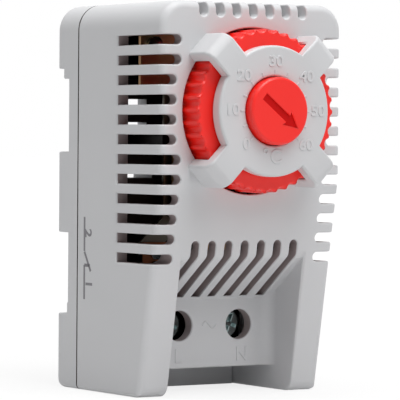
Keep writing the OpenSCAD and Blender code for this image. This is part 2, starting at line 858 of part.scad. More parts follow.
module magnet_bracket() {
  color("peru") from_rail() difference() {
    union() {
      block([-bracket_half, magnet_y - bracket_t, bracket_low],
        [bracket_half, magnet_y, bracket_top]);
      both_sides() {
        block([bracket_half - bracket_t, wing_y, bracket_low],
          [bracket_half, magnet_y, bracket_top]);
        block([bracket_half - bracket_t, wing_y, wing_low],
          [wing_half, wing_y + bracket_t, bracket_top]);
      }
    }
    both_sides() rod(bracket_screw_x, bracket_screw_h, bracket_shank_r, wing_y - over,
      wing_y + bracket_t + over);
  }
}

module bracket_screws() {
  color("silver") from_rail() both_sides() difference() {
    union() {
      rod(bracket_screw_x, bracket_screw_h, bracket_head_r, wing_y - bracket_head_t, wing_y);
      rod(bracket_screw_x, bracket_screw_h, bracket_shank_r, wing_y,
        wing_y + bracket_t + bracket_shank_len);
    }
    block([bracket_screw_x - bracket_head_r, wing_y - bracket_head_t - over,
      bracket_screw_h - calibration_slot_w / 2], [bracket_screw_x + bracket_head_r,
      wing_y - bracket_head_t + calibration_slot_d, bracket_screw_h + calibration_slot_w / 2]);
  }
}

module terminal_bar(side) {
  color("chocolate") from_rail() difference() {
    block([side * screw_x - bar_w / 2, bar_y, bar_low], [side * screw_x + bar_w / 2, bar_back, root_top]);
    for (z = [rivet_h1, rivet_h2]) rod(side * screw_x, z, shank_r + rivet_hole_gap,
      bar_y - over, bar_back + over);
  }
}

module clamp_cage(side) {
  half = cage_inner_w / 2;
  back = cage_y + cage_front_t + cage_room;
  color("silver") from_rail() difference() {
    block([side * screw_x - half - cage_side_t, cage_y, screw_h - cage_h / 2],
      [side * screw_x + half + cage_side_t, back + cage_back_t, screw_h + cage_h / 2]);
    block([side * screw_x - half, cage_y + cage_front_t, screw_h - cage_h / 2 - over],
      [side * screw_x + half, back, screw_h + cage_h / 2 + over]);
    rod(side * screw_x, screw_h, shaft_r + slip, cage_y - over, cage_y + cage_front_t + over);
  }
}

module terminal_screw(side) {
  color("lightsteelblue") from_rail() difference() {
    union() {
      rod(side * screw_x, screw_h, head_r, head_y, head_back);
      rod(side * screw_x, screw_h, shaft_r, head_back, bar_y - flange_gap);
    }
    translate([side * screw_x, head_y, screw_h]) for (turn = [20, 110]) rotate([0, turn, 0])
      block([-cross_len / 2, -over, -cross_w / 2], [cross_len / 2, cross_d, cross_w / 2]);
  }
}

module terminal_bar_l() { terminal_bar(-1); }
module terminal_bar_n() { terminal_bar(1); }
module clamp_cage_l() { clamp_cage(-1); }
module clamp_cage_n() { clamp_cage(1); }
module terminal_screw_l() { terminal_screw(-1); }
module terminal_screw_n() { terminal_screw(1); }

module rail_latch() {
  color("gainsboro") from_rail() difference() {
    union() {
      // ears that run in the channel, and the body with its nose behind the flange
      block([-latch_half - latch_ear, latch_ear_y, latch_lift],
        [latch_half + latch_ear, latch_ear_y + latch_ear_t, latch_ear_top]);
      block([-latch_half, latch_body_y, latch_lift],
        [latch_half, latch_back, flange_low + hook_reach]);
      // tongue that presses on the spring
      block([-pocket_half + latch_gap, spring_y - spring_r, tongue_low],
        [pocket_half - latch_gap, latch_ear_y + latch_ear_t, tongue_low + tongue_t]);
    }
    block([-latch_notch_w / 2, latch_back - latch_notch_d, latch_lift + latch_notch_h],
      [latch_notch_w / 2, latch_back + over, latch_lift + 2 * latch_notch_h]);
  }
}

// Wire of the spring: rings square to a helix that climbs at an even rate
function spring_point(t) = [spring_r * cos(360 * t), spring_r * sin(360 * t),
  spring_low + spring_pitch * t];
function spring_ring(t) = [for (k = [0:wire_sides - 1])
  let (a = 360 * k / wire_sides, rise = atan(spring_pitch / (2 * PI * spring_r)),
    out = [cos(360 * t), sin(360 * t), 0],
    up = [sin(360 * t) * sin(rise), -cos(360 * t) * sin(rise), cos(rise)])
  spring_point(t) + wire_r * (cos(a) * out + sin(a) * up)];

module latch_spring() {
  rings = floor(spring_curls * rings_per_curl);
  points = [for (i = [0:rings]) each spring_ring(i * spring_curls / rings)];
  sides = [for (i = [0:rings - 1], k = [0:wire_sides - 1])
    let (a = i * wire_sides + k, b = i * wire_sides + (k + 1) % wire_sides)
    each [[a, b, b + wire_sides], [a, b + wire_sides, a + wire_sides]]];
  start_cap = [for (k = [1:wire_sides - 2]) [0, k + 1, k]];
  last = rings * wire_sides;
  end_cap = [for (k = [1:wire_sides - 2]) [last, last + k, last + k + 1]];
  color("silver") from_rail() translate([0, spring_y, 0])
    polyhedron(points, [for (f = concat(sides, start_cap, end_cap)) [f[0], f[2], f[1]]]);
}

front_cover();
rear_base();
inner_frame();
setting_knob();
setting_spindle();
retaining_ring();
friction_washer();
setting_nut();
contact_arm();
arm_rivets();
fixed_contact();
calibration_screw();
bimetal_strip();
bimetal_rivets();
moving_contact();
armature_plate();
snap_magnet();
magnet_bracket();
bracket_screws();
terminal_bar_l();
terminal_bar_n();
clamp_cage_l();
clamp_cage_n();
terminal_screw_l();
terminal_screw_n();
rail_latch();
latch_spring();
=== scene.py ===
import bpy
import bmesh
import math
from mathutils import Matrix, Vector


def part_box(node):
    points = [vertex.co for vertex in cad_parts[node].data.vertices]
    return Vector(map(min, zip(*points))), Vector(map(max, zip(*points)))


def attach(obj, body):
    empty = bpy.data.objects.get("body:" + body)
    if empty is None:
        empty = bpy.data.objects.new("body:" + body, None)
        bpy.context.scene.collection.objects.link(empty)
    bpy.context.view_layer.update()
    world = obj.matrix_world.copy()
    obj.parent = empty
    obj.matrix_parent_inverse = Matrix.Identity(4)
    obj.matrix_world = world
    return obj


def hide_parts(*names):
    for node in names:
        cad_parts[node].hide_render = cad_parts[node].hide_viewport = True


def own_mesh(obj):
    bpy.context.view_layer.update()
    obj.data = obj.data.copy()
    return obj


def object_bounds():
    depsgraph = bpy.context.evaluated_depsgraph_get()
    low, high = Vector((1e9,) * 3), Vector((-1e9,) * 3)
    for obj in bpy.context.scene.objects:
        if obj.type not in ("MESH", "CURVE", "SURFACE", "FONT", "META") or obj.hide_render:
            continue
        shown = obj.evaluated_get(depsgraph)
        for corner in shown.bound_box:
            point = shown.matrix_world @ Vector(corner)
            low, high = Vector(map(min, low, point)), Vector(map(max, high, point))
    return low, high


# DIN rail thermostat: the finish of every piece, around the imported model.
# Sizes in the dictionaries are in millimetres, and mm turns them to metres.
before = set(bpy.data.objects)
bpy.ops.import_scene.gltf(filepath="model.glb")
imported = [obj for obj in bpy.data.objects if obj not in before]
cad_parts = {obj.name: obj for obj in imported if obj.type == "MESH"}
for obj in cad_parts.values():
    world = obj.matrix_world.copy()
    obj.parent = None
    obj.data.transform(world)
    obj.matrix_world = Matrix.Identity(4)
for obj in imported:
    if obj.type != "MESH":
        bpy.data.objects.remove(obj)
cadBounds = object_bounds()
mm = 0.001
scene = bpy.context.scene
coverLow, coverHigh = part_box("front_cover")
knobLow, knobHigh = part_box("setting_knob")
screwLow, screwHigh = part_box("terminal_screw_l")

# What several pieces share: measures, and places read from the frame
shared = {
    "discRise": 5.9,  # from the case's front plane to the face of the dial disc
    "screwSink": 3,  # from the terminal face back to the screw heads
    "same": 0.05,  # places that differ by less count as the same
    "markSink": 0.02,  # raised marks start this far inside their face, so that no gap shows
    "markMerge": 0.0005,  # corners of a mark closer than this are one
}
dialHeight = (knobLow.z + knobHigh.z) / 2
discFace = coverLow.y
frontPlane = discFace + shared["discRise"] * mm
terminalFace = screwLow.y - shared["screwSink"] * mm
screwX = abs(screwLow.x + screwHigh.x) / 2
screwHeight = (screwLow.z + screwHigh.z) / 2
floorHeight = cadBounds[0].z
same = shared["same"] * mm
markSink = shared["markSink"] * mm
print("frame loaded,", len(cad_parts), "pieces")


def colour(code):
    # sRGB hex to linear RGBA
    parts = [int(code[i:i + 2], 16) / 255 for i in (0, 2, 4)]
    return [c / 12.92 if c <= 0.04045 else ((c + 0.055) / 1.055) ** 2.4 for c in parts] + [1]


def addNode(tree, kind, values={}, links={}, **settings):
    # one node with its settings, its sockets' values and what they are linked to
    made = tree.nodes.new(kind)
    for name, value in settings.items():
        setattr(made, name, value)
    for name, value in values.items():
        made.inputs[name].default_value = value
    for name, source in links.items():
        tree.links.new(source, made.inputs[name])
    return made


def newMaterial(name, finish):
    # a material with one Principled shader; constants go straight onto its sockets
    material = bpy.data.materials.new(name)
    material.use_nodes = True
    material.diffuse_color = colour(finish["base"])
    tree = material.node_tree
    principled = tree.nodes["Principled BSDF"]
    principled.inputs["Base Color"].default_value = colour(finish["base"])
    for socket, value in finish["shader"].items():
        principled.inputs[socket].default_value = value
    return material, tree, principled


noiseSpread = (0.3, 0.7)  # most of a noise's values lie between these


def dressShader(tree, principled, finish, toneFrom, glossFrom, reliefFrom):
    # tone, gloss and bump of a finish, each led by its own pattern
    tone = addNode(tree, "ShaderNodeMix", {6: colour(finish["base"]), 7: colour(finish["drift"])},
                   {0: toneFrom}, data_type="RGBA")
    tree.links.new(tone.outputs[2], principled.inputs["Base Color"])
    gloss = addNode(tree, "ShaderNodeMapRange", {
        "From Min": noiseSpread[0], "From Max": noiseSpread[1],
        "To Min": finish["gloss"][0], "To Max": finish["gloss"][1]}, {"Value": glossFrom})
    tree.links.new(gloss.outputs["Result"], principled.inputs["Roughness"])
    bump = addNode(tree, "ShaderNodeBump", {
        "Strength": finish["relief"], "Distance": finish["depth"] * mm}, {"Height": reliefFrom})
    tree.links.new(bump.outputs["Normal"], principled.inputs["Normal"])


def mouldedPlastic(name, finish):
    # spark-eroded mould grain as bump and gloss, and a slow drift of tone from the melt
    material, tree, principled = newMaterial(name, finish)
    place = addNode(tree, "ShaderNodeTexCoord").outputs["Object"]
    grain = addNode(tree, "ShaderNodeTexNoise", {
        "Scale": 1 / (finish["grain"] * mm), "Detail": 3.0, "Roughness": 0.6}, {"Vector": place})
    flow = addNode(tree, "ShaderNodeTexNoise", {
        "Scale": 1 / (finish["flow"] * mm), "Detail": 2.0}, {"Vector": place})
    dressShader(tree, principled, finish, flow.outputs["Fac"], grain.outputs["Fac"],
                grain.outputs["Fac"])
    return material


def workedMetal(name, finish):
    # rolling or turning lines as a stretched noise, and patches where the shine and tone change
    material, tree, principled = newMaterial(name, finish)
    place = addNode(tree, "ShaderNodeTexCoord").outputs["Object"]
    stretched = addNode(tree, "ShaderNodeMapping", {"Scale": finish["stretch"]}, {"Vector": place})
    lines = addNode(tree, "ShaderNodeTexNoise", {
        "Scale": 1 / (finish["line"] * mm), "Detail": 4.0},
        {"Vector": stretched.outputs["Vector"]})
    patch = addNode(tree, "ShaderNodeTexNoise", {
        "Scale": 1 / (finish["patch"] * mm), "Detail": 3.0}, {"Vector": place})
    dressShader(tree, principled, finish, patch.outputs["Fac"], patch.outputs["Fac"],
                lines.outputs["Fac"])
    return material


# Light grey PC/ABS, injection moulded in a spark-eroded tool: matt-satin and even.
# Real grain is about 0.03 mm; it is drawn at 0.3 mm so that it shows at all.
casePlastic = mouldedPlastic("greyAbsMoulded", {
    "base": "D3D3D5", "drift": "CDCED0", "grain": 0.3, "flow": 14, "gloss": (0.38, 0.5),
    "relief": 0.12, "depth": 0.02, "shader": {"IOR": 1.53}})
# The same plastic inside the case, with painted shade: coloured dark and kept dull, so that the
# slots look deep.
chamberPaintedShade = mouldedPlastic("greyAbsPaintedShade", {
    "base": "3A2E2A", "drift": "2C2320", "grain": 0.3, "flow": 9, "gloss": (0.6, 0.75),
    "relief": 0.12, "depth": 0.02, "shader": {"IOR": 1.53, "Specular IOR Level": 0.12}})
# The same plastic on the walls of the slots, with painted shade: darker and tinted a little brown.
slotPaintedShade = mouldedPlastic("greyAbsSlotShade", {
    "base": "AC9F9F", "drift": "9C9090", "grain": 0.3, "flow": 6, "gloss": (0.5, 0.65),
    "relief": 0.12, "depth": 0.02, "shader": {"IOR": 1.53, "Specular IOR Level": 0.3}})
# Red ABS, moulded in a polished tool: deep saturated colour under a clear satin gloss.
redPlastic = mouldedPlastic("redAbsMoulded", {
    "base": "FF2014", "drift": "FA1A0F", "grain": 0.4, "flow": 7, "gloss": (0.28, 0.36),
    "relief": 0.05, "depth": 0.02, "shader": {"IOR": 1.53}})
# Floor of the arrow, left rough from the tool, so it reads darker than the polished button.
arrowPlastic = mouldedPlastic("redAbsTooled", {
    "base": "CC0202", "drift": "C20101", "grain": 0.2, "flow": 7, "gloss": (0.5, 0.6),
    "relief": 0.1, "depth": 0.02, "shader": {"IOR": 1.53, "Specular IOR Level": 0.15}})
# Phenolic moulding compound, compression moulded: brown-black, dull, with a fine mottled filler.
carrierPlastic = mouldedPlastic("phenolicMoulded", {
    "base": "0C0908", "drift": "15100D", "grain": 0.25, "flow": 1.2, "gloss": (0.35, 0.5),
    "relief": 0.2, "depth": 0.03, "shader": {"IOR": 1.6, "Specular IOR Level": 0.12}})
# Natural polyamide, injection moulded: warm white and waxy.
nutPlastic = mouldedPlastic("polyamideMoulded", {
    "base": "E4E1D4", "drift": "DCD8C8", "grain": 0.4, "flow": 5, "gloss": (0.4, 0.5),
    "relief": 0.08, "depth": 0.02, "shader": {"IOR": 1.53}})
# Brass, turned on a lathe: warm yellow with fine rings across the axis.
brass = workedMetal("brassTurned", {
    "base": "C9A255", "drift": "B88F44", "stretch": (1, 12, 1), "line": 0.5, "patch": 2.5,
    "gloss": (0.22, 0.34), "relief": 0.15, "depth": 0.01, "shader": {"Metallic": 1.0}})
# Phosphor bronze, rolled strip: pale reddish brown, brushed along its length, a little tarnished.
bronze = workedMetal("bronzeRolled", {
    "base": "D2AE86", "drift": "A8845E", "stretch": (8, 8, 1), "line": 0.7, "patch": 3,
    "gloss": (0.34, 0.5), "relief": 0.2, "depth": 0.01, "shader": {"Metallic": 1.0}})
# Copper, stamped bar: salmon red, dulled by air where it wasn't touched.
copper = workedMetal("copperStamped", {
    "base": "C07A58", "drift": "9A5A3E", "stretch": (5, 1, 1), "line": 0.6, "patch": 2.5,
    "gloss": (0.28, 0.45), "relief": 0.15, "depth": 0.01, "shader": {"Metallic": 1.0}})
# Thermostat bimetal, cold rolled: grey with a faint straw tint and long rolling lines.
bimetal = workedMetal("bimetalRolled", {
    "base": "A39C90", "drift": "8C857A", "stretch": (8, 8, 1), "line": 0.7, "patch": 4,
    "gloss": (0.3, 0.42), "relief": 0.2, "depth": 0.01, "shader": {"Metallic": 1.0}})
# Silver alloy contact rivet, headed and tumbled: the brightest and whitest metal here.
silver = workedMetal("silverTumbled", {
    "base": "E2E0DA", "drift": "D0CEC8", "stretch": (1, 1, 1), "line": 0.6, "patch": 1.2,
    "gloss": (0.2, 0.3), "relief": 0.1, "depth": 0.01, "shader": {"Metallic": 1.0}})
# Steel, zinc plated and passivated blue: pale and teal in patches, with sharp bright glints.
zincSteel = workedMetal("steelZincPlated", {
    "base": "D3E0E0", "drift": "3E5A5A", "stretch": (1, 1, 1), "line": 0.6, "patch": 0.9,
    "gloss": (0.05, 0.2), "relief": 0.5, "depth": 0.03, "shader": {"Metallic": 1.0}})
# Spring steel, drawn and bright hardened: darker blue-grey than the plated parts.
springSteel = workedMetal("springSteelDrawn", {
    "base": "8E9196", "drift": "74777C", "stretch": (1, 1, 6), "line": 0.5, "patch": 1.5,
    "gloss": (0.2, 0.3), "relief": 0.1, "depth": 0.01, "shader": {"Metallic": 1.0}})
# Ferrite, pressed and sintered: charcoal, matt, with a sandy grain.
ferrite = mouldedPlastic("ferriteSintered", {
    "base": "2B2B2D", "drift": "37373A", "grain": 0.25, "flow": 0.9, "gloss": (0.55, 0.7),
    "relief": 0.4, "depth": 0.03, "shader": {"IOR": 2.0}})
# Two-part pad printing ink: flat warm grey, slightly uneven where the pad lifted.
printInk = mouldedPlastic("padPrintInk", {
    "base": "77757A", "drift": "858388", "grain": 0.35, "flow": 0.8, "gloss": (0.5, 0.6),
    "relief": 0.1, "depth": 0.01, "shader": {"IOR": 1.5}})
print("materials made")

# What each node that keeps the frame's own shape is made of
finishes = {
    "inner_frame": carrierPlastic, "setting_nut": nutPlastic,
    "setting_spindle": brass, "calibration_screw": brass,
    "retaining_ring": springSteel, "friction_washer": springSteel, "latch_spring": springSteel,
    "contact_arm": bronze, "magnet_bracket": bronze,
    "arm_rivets": zincSteel, "bimetal_rivets": zincSteel, "bracket_screws": zincSteel,
    "clamp_cage_l": zincSteel, "clamp_cage_n": zincSteel, "armature_plate": zincSteel,
    "fixed_contact": silver, "moving_contact": silver,
    "bimetal_strip": bimetal, "snap_magnet": ferrite,
    "terminal_bar_l": copper, "terminal_bar_n": copper,
}
for nodeName, material in finishes.items():
    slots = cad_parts[nodeName].data.materials
    slots.clear()
    slots.append(material)

# How the edges of a moulding are found and rounded
mouldEdges = {
    "merge": 0.001,  # vertices closer than this are one
    "flatTurn": 0.2,  # degrees; faces that turn by less are one face
    "softTurn": 2,  # degrees; edges between wide flats that turn by more are rounded
    "sharpTurn": 30,  # degrees; edges that turn by more are rounded wherever they are
    "wide": 0.9,  # a flat is wider than this, a strip of a curve narrower
    "segments": 3,
}


def isWide(face):
    # true for a flat of the moulding, false for the narrow strips that make up a curve
    corner = face.verts[0].co
    reach = max((vert.co - corner).length for vert in face.verts)
    return face.calc_area() > mouldEdges["wide"] * mm * reach


def moulding(nodeName, body, materials, radius, pickMaterial=None, roundInside=True):
    # a copy of the node whose outer edges get the small radii of a real mould
    name = nodeName + "_moulded"
    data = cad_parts[nodeName].data.copy()
    data.name = name
    data.materials.clear()
    for material in materials:
        data.materials.append(material)
    for layer in ("custom_normal", "sharp_edge", "sharp_face"):
        if layer in data.attributes:
            data.attributes.remove(data.attributes[layer])
    work = bmesh.new()
    work.from_mesh(data)
    bmesh.ops.remove_doubles(work, verts=work.verts, dist=mouldEdges["merge"] * mm)
    for face in work.faces:
        face.smooth = True
        face.material_index = pickMaterial(face) if pickMaterial else 0
    flatTurn, softTurn, sharpTurn = (math.radians(mouldEdges[k])
                                     for k in ("flatTurn", "softTurn", "sharpTurn"))
    bmesh.ops.dissolve_limit(work, angle_limit=flatTurn, verts=work.verts, edges=work.edges,
                             delimit={"MATERIAL"})
    weights = work.edges.layers.float.new("bevel_weight_edge")
    for edge in work.edges:
        if len(edge.link_faces) != 2:
            continue
        turn = edge.calc_face_angle(0)
        flats = all(isWide(face) for face in edge.link_faces)
        inside = any(face.material_index == 1 for face in edge.link_faces) and not roundInside
        hidden = inside or not edge.is_convex
        size = 0 if hidden else radius((edge.verts[0].co + edge.verts[1].co) / 2)
        if size == 0:
            edge.smooth = turn < sharpTurn
        elif turn > sharpTurn or (flats and turn > softTurn):
            edge[weights] = size
    work.to_mesh(data)
    work.free()
    piece = bpy.data.objects.new(name, data)
    scene.collection.objects.link(piece)
    bevel = piece.modifiers.new("mouldRadii", "BEVEL")
    bevel.limit_method = "WEIGHT"
    bevel.width = mm  # an edge's weight is then its radius in millimetres
    bevel.segments = mouldEdges["segments"]
    bevel.use_clamp_overlap = False
    bevel.harden_normals = True
    bevel.miter_outer = "MITER_SHARP"
    bevel.loop_slide = False
    bevel.material = 0  # rounded edges keep the piece's own colour, not the painted shade beside them
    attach(piece, body)
    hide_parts(nodeName)


# Front cover: depths count back from the front plane, heights up from the bottom,
# and half widths out from the middle
cover = {
    "bend": 33,  # height where the front starts to lean back
    "brow": 21.3,  # height where the ramp over the terminals starts
    "browHalf": 11.2,
    "radii": {"plain": 0.25, "guard": 0.42, "seam": 0.08, "brow": 0.9, "bend": 0.3},
    "seamBand": 0.35,  # edges this close to the seam get its radius
    "guardStart": 0.3,  # edges more than this before the front plane are the guard's
    # inside of the front, the lean, the ramp and the terminal wall, as (height, depth)
    "hollow": [(58, 2), (33, 2), (22.5, 3.9), (15.5, 13.7), (5.2, 13.7)],
    "hollowHalf": 14.5,
    # hollows of the two cheeks beside the terminal recess, and the groove before the seam, all
    # given painted dark shade
    "cheek": {"half": (12.9, 14.5), "depth": (9.7, 24.4), "height": (2, 19.3)},
    "seamDepth": (24.05, 24.5),
    "probe": 0.2,  # how far off a face the air is felt for
    "openingRadius": 12.65,  # of the opening for the finger wheel
    "openingSlack": 0.1,
    "skin": 1.95,  # a little less than the front's thickness
    # walls of the side slots, the low slots and the screwdriver holes, which get painted shade
    "shadedWalls": [
        {"half": (12.8, 16.45), "depth": (0.05, 12.75), "height": (20.3, 54.9)},
        {"half": (0, 9.8), "depth": (0.05, 13.25), "height": (14.7, 24)},
        {"half": (3.1, 7.9), "depth": (11.75, 13.7), "height": (7.9, 12.7)},
    ],
    "sideways": 0.01,  # a wall of a slot turns no more than this to the front
    "forward": 0.99,  # and its rear end turns at least this much
    "slotEnd": 12.5,  # and lies deeper than this
}
browHeight = coverLow.z + cover["brow"] * mm
bendHeight = coverLow.z + cover["bend"] * mm


def hollowDepth(height):
    # depth of the hollow's front side at a height, both in millimetres
    for (high, depth), (low, nextDepth) in zip(cover["hollow"], cover["hollow"][1:]):
        if low <= height <= high:
            return depth + (nextDepth - depth) * (high - height) / (high - low)
    return math.inf


def coverSpot(point):
    # (half width, depth, height) of a point, in millimetres
    return abs(point.x) / mm, (point.y - frontPlane) / mm, (point.z - coverLow.z) / mm


def within(spot, region):
    # true where a spot lies in a region of the cover
    return all(low < value < high for value, (low, high)
               in zip(spot, (region["half"], region["depth"], region["height"])))


def coverPlace(face):
    # 1, painted dark shade, on the walls of the hollows; 2, painted lighter shade, on the walls of
    # the slots and holes; 0 on every other face
    middle = face.calc_center_median()
    spot = coverSpot(middle)
    depth = spot[1]
    across = math.hypot(middle.x, middle.z - dialHeight) / mm
    onOpening = abs(across - cover["openingRadius"]) < cover["openingSlack"]
    if onOpening and 0 < depth < cover["skin"] and middle.z < bendHeight:
        return 2
    air = coverSpot(middle + face.normal * cover["probe"] * mm)
    inHollow = air[0] < cover["hollowHalf"] and air[1] > hollowDepth(air[2])
    if inHollow or within(air, cover["cheek"]):
        return 1
    if cover["seamDepth"][0] < depth < cover["seamDepth"][1]:
        return 1
    rearEnd = face.normal.y < -cover["forward"] and depth > cover["slotEnd"]
    wall = abs(face.normal.y) < cover["sideways"] or rearEnd
    return 2 if wall and any(within(spot, region) for region in cover["shadedWalls"]) else 0


def coverRadius(point):
    # radius of an edge of the cover, by where it is
    radii = cover["radii"]
    if point.y > coverHigh.y - cover["seamBand"] * mm:
        return radii["seam"]
    if point.y < frontPlane - cover["guardStart"] * mm:
        return radii["guard"]
    if abs(point.z - browHeight) < same and abs(point.x) < cover["browHalf"] * mm:
        return radii["brow"]
    if abs(point.z - bendHeight) < same and point.y < frontPlane + same:
        return radii["bend"]
    return radii["plain"]


# Rear base, in the frame's own axes
base = {
    "inside": (-0.2, 0.4),  # its inner face lies this near the seam, before and behind
    "forward": 0.3,  # and turns at least this much to the front
    "radius": 0.25,
    "channel": {"half": 6.6, "front": 2, "top": -17.8},  # where the latch slides
}


def basePlace(face):
    # 1, painted dark shade, on the base's inner face, which is seen through the slots
    before, behind = base["inside"]
    depth = face.calc_center_median().y
    inner = coverHigh.y + before * mm < depth < coverHigh.y + behind * mm
    return int(face.normal.y < -base["forward"] and inner)


def baseRadius(point):
    # the lip inside the cover and the latch's channel stay sharp
    channel = base["channel"]
    inChannel = (abs(point.x) < channel["half"] * mm and point.y < channel["front"] * mm
                 and point.z < channel["top"] * mm)
    return 0 if point.y < coverHigh.y - same or inChannel else base["radius"]


# Rail latch and terminal screws: one radius all over
latchRadius = 0.18
screwRadius = 0.1

moulding("front_cover", "case", [casePlastic, chamberPaintedShade, slotPaintedShade],
         coverRadius, coverPlace, roundInside=False)
moulding("rear_base", "case", [casePlastic, chamberPaintedShade],
         baseRadius, basePlace, roundInside=False)
moulding("rail_latch", "latch", [casePlastic], lambda point: latchRadius)

# Setting knob
knob = {
    "arrowDepth": 0.3,
    "arrowSlack": 0.02,
    "forward": 0.9,  # the arrow's floor turns at least this much to the front
    "wheelFront": 3.6,  # the finger wheel's front stands this far before the front plane
    "rimInside": 11.5,  # its rim lies outside this radius
    "radii": {"rim": 0.35, "rest": 0.16},
}
arrowFloor = knobLow.y + knob["arrowDepth"] * mm
wheelFront = frontPlane - knob["wheelFront"] * mm


def knobPlace(face):
    # 1 on the floor of the arrow
    onFloor = abs(face.calc_center_median().y - arrowFloor) < knob["arrowSlack"] * mm
    return int(onFloor and face.normal.y < -knob["forward"])


def knobRadius(point):
    # the finger wheel's front rim is rounder than the rest
    across = math.hypot(point.x, point.z - dialHeight)
    onRim = abs(point.y - wheelFront) < same and across > knob["rimInside"] * mm
    return knob["radii"]["rim" if onRim else "rest"]


moulding("setting_knob", "knob", [redPlastic, arrowPlastic], knobRadius, knobPlace)
for side in ("l", "n"):
    moulding("terminal_screw_" + side, "screw_" + side, [zincSteel],
             lambda point: screwRadius)
print("mouldings made")

# The coil spring, as its own copy that stays with the case and the base
spring = {"node": "latch_spring", "joint": "latch_slide", "travel": 2.3 * mm}
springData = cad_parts[spring["node"]].data.copy()
springCoil = bpy.data.objects.new(spring["node"] + "_coil", springData)
scene.collection.objects.link(springCoil)
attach(springCoil, "case")
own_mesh(springCoil)
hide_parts(spring["node"])
print("spring made")

bandTop = 0.6  # share of a raised band's width that is flat on top


def textMesh(words, height, rise, bolder=0, wider=1):
    # words as a closed mesh in the XY plane, centred, height millimetres high
    quarter = rise * mm / 4  # from the middle, a straight part and a rounded part to each side
    curve = bpy.data.curves.new("lettering", "FONT")
    curve.body = words
    curve.size = height * mm
    curve.extrude = quarter
    curve.bevel_depth = quarter
    curve.bevel_resolution = 1
    curve.offset = bolder * mm - curve.bevel_depth
    carrier = bpy.data.objects.new("lettering", curve)
    scene.collection.objects.link(carrier)
    bpy.context.view_layer.update()
    ready = carrier.evaluated_get(bpy.context.evaluated_depsgraph_get())
    data = bpy.data.meshes.new_from_object(ready)
    bpy.data.objects.remove(carrier)
    xs = [vert.co.x for vert in data.vertices]
    ys = [vert.co.y for vert in data.vertices]
    grow = height * mm / (max(ys) - min(ys))
    data.transform(Matrix.Translation((-(min(xs) + max(xs)) / 2, -(min(ys) + max(ys)) / 2, 0)))
    data.transform(Matrix.Diagonal((grow * wider, grow, 1, 1)))
    return data


def bandMesh(points, stroke, rise, closed=False):
    # a raised band with slanted flanks along points of the XY plane; points are in metres
    half, top = stroke * mm / 2, rise * mm / 2
    profile = [(-1, -top), (-1, top / 2), (-bandTop, top), (bandTop, top), (1, top / 2), (1, -top)]
    work = bmesh.new()
    rings = []
    last = len(points) - 1
    for i, point in enumerate(points):
        before = points[i - 1] if closed else points[max(i - 1, 0)]
        after = points[(i + 1) % len(points)] if closed else points[min(i + 1, last)]
        along = (after - before).normalized()
        side = Vector((-along.y, along.x)) * half
        rings.append([work.verts.new((point.x + side.x * k, point.y + side.y * k, level))
                      for k, level in profile])
    count = len(profile)
    for low, high in zip(rings, rings[1:] + rings[:1] if closed else rings[1:]):
        for k in range(count):
            work.faces.new([low[k], low[(k + 1) % count], high[(k + 1) % count], high[k]])
    if not closed:
        work.faces.new(rings[0][::-1])
        work.faces.new(rings[-1])
    bmesh.ops.recalc_face_normals(work, faces=work.faces)
    data = bpy.data.meshes.new("band")
    work.to_mesh(data)
    work.free()
    return data


def gather(name, parts, material):
    # joins (mesh, matrix) pairs into one piece on the case
    work = bmesh.new()
    for data, matrix in parts:
        data.transform(matrix)
        work.from_mesh(data)
        bpy.data.meshes.remove(data)
    bmesh.ops.remove_doubles(work, verts=work.verts, dist=shared["markMerge"] * mm)
    data = bpy.data.meshes.new(name)
    work.to_mesh(data)
    work.free()
    data.materials.append(material)
    piece = bpy.data.objects.new(name, data)
    scene.collection.objects.link(piece)
    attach(piece, "case")


upright = Matrix.Rotation(math.radians(90), 4, "X")  # XY drawings stand up and face the front


def onFront(x, y, z):
    return Matrix.Translation((x, y, z)) @ upright


def around(radius, angle):
    # point of a circle, by its angle in degrees
    return Vector((math.cos(math.radians(angle)), math.sin(math.radians(angle)))) * radius * mm


# Raised numbers and ticks on the dial disc
dial = {
    # each number and its place from the dial's centre, to the right and up
    "numbers": [("0", -5.1, -4.9), ("10", -7.45, 0.2), ("20", -5.55, 5.3), ("30", 0.2, 7.55),
                ("40", 5.75, 5.3), ("50", 7.9, 0.15), ("60", 5.75, -5.0)],
    "numberHeight": 1.75,
    "unit": (0.25, -6.8),
    "unitHeight": 2.2,
    "ring": (-1.6, -6.0),  # degree sign before the unit
    "ringRadius": 0.36,
    "ringPoints": 24,
    "firstAngle": 225,  # degrees, anticlockwise from the right; the scale runs clockwise
    "tickStep": 22.5,
    "tickCount": 13,
    "ticks": (5.5, 6.2),
    "stroke": 0.22,
    "rise": 0.14,
    "bolder": 0.05,
    "wider": 1.15,
}
discSeat = discFace - dial["rise"] * mm / 2 + markSink


def onDisc(x, z):
    return onFront(x * mm, discSeat, dialHeight + z * mm)


dialParts = []
for words, x, z in dial["numbers"]:
    number = textMesh(words, dial["numberHeight"], dial["rise"], dial["bolder"], dial["wider"])
    dialParts.append((number, onDisc(x, z)))
unitMesh = textMesh("C", dial["unitHeight"], dial["rise"], dial["bolder"])
dialParts.append((unitMesh, onDisc(*dial["unit"])))
ringStep = 360 / dial["ringPoints"]
ringMesh = bandMesh([around(dial["ringRadius"], ringStep * i) for i in range(dial["ringPoints"])],
                    dial["stroke"], dial["rise"], True)
dialParts.append((ringMesh, onDisc(*dial["ring"])))
for i in range(dial["tickCount"]):
    angle = dial["firstAngle"] - i * dial["tickStep"]
    ends = [around(radius, angle) for radius in dial["ticks"]]
    dialParts.append((bandMesh(ends, dial["stroke"], dial["rise"]), onDisc(0, 0)))
gather("dial_marks", dialParts, casePlastic)

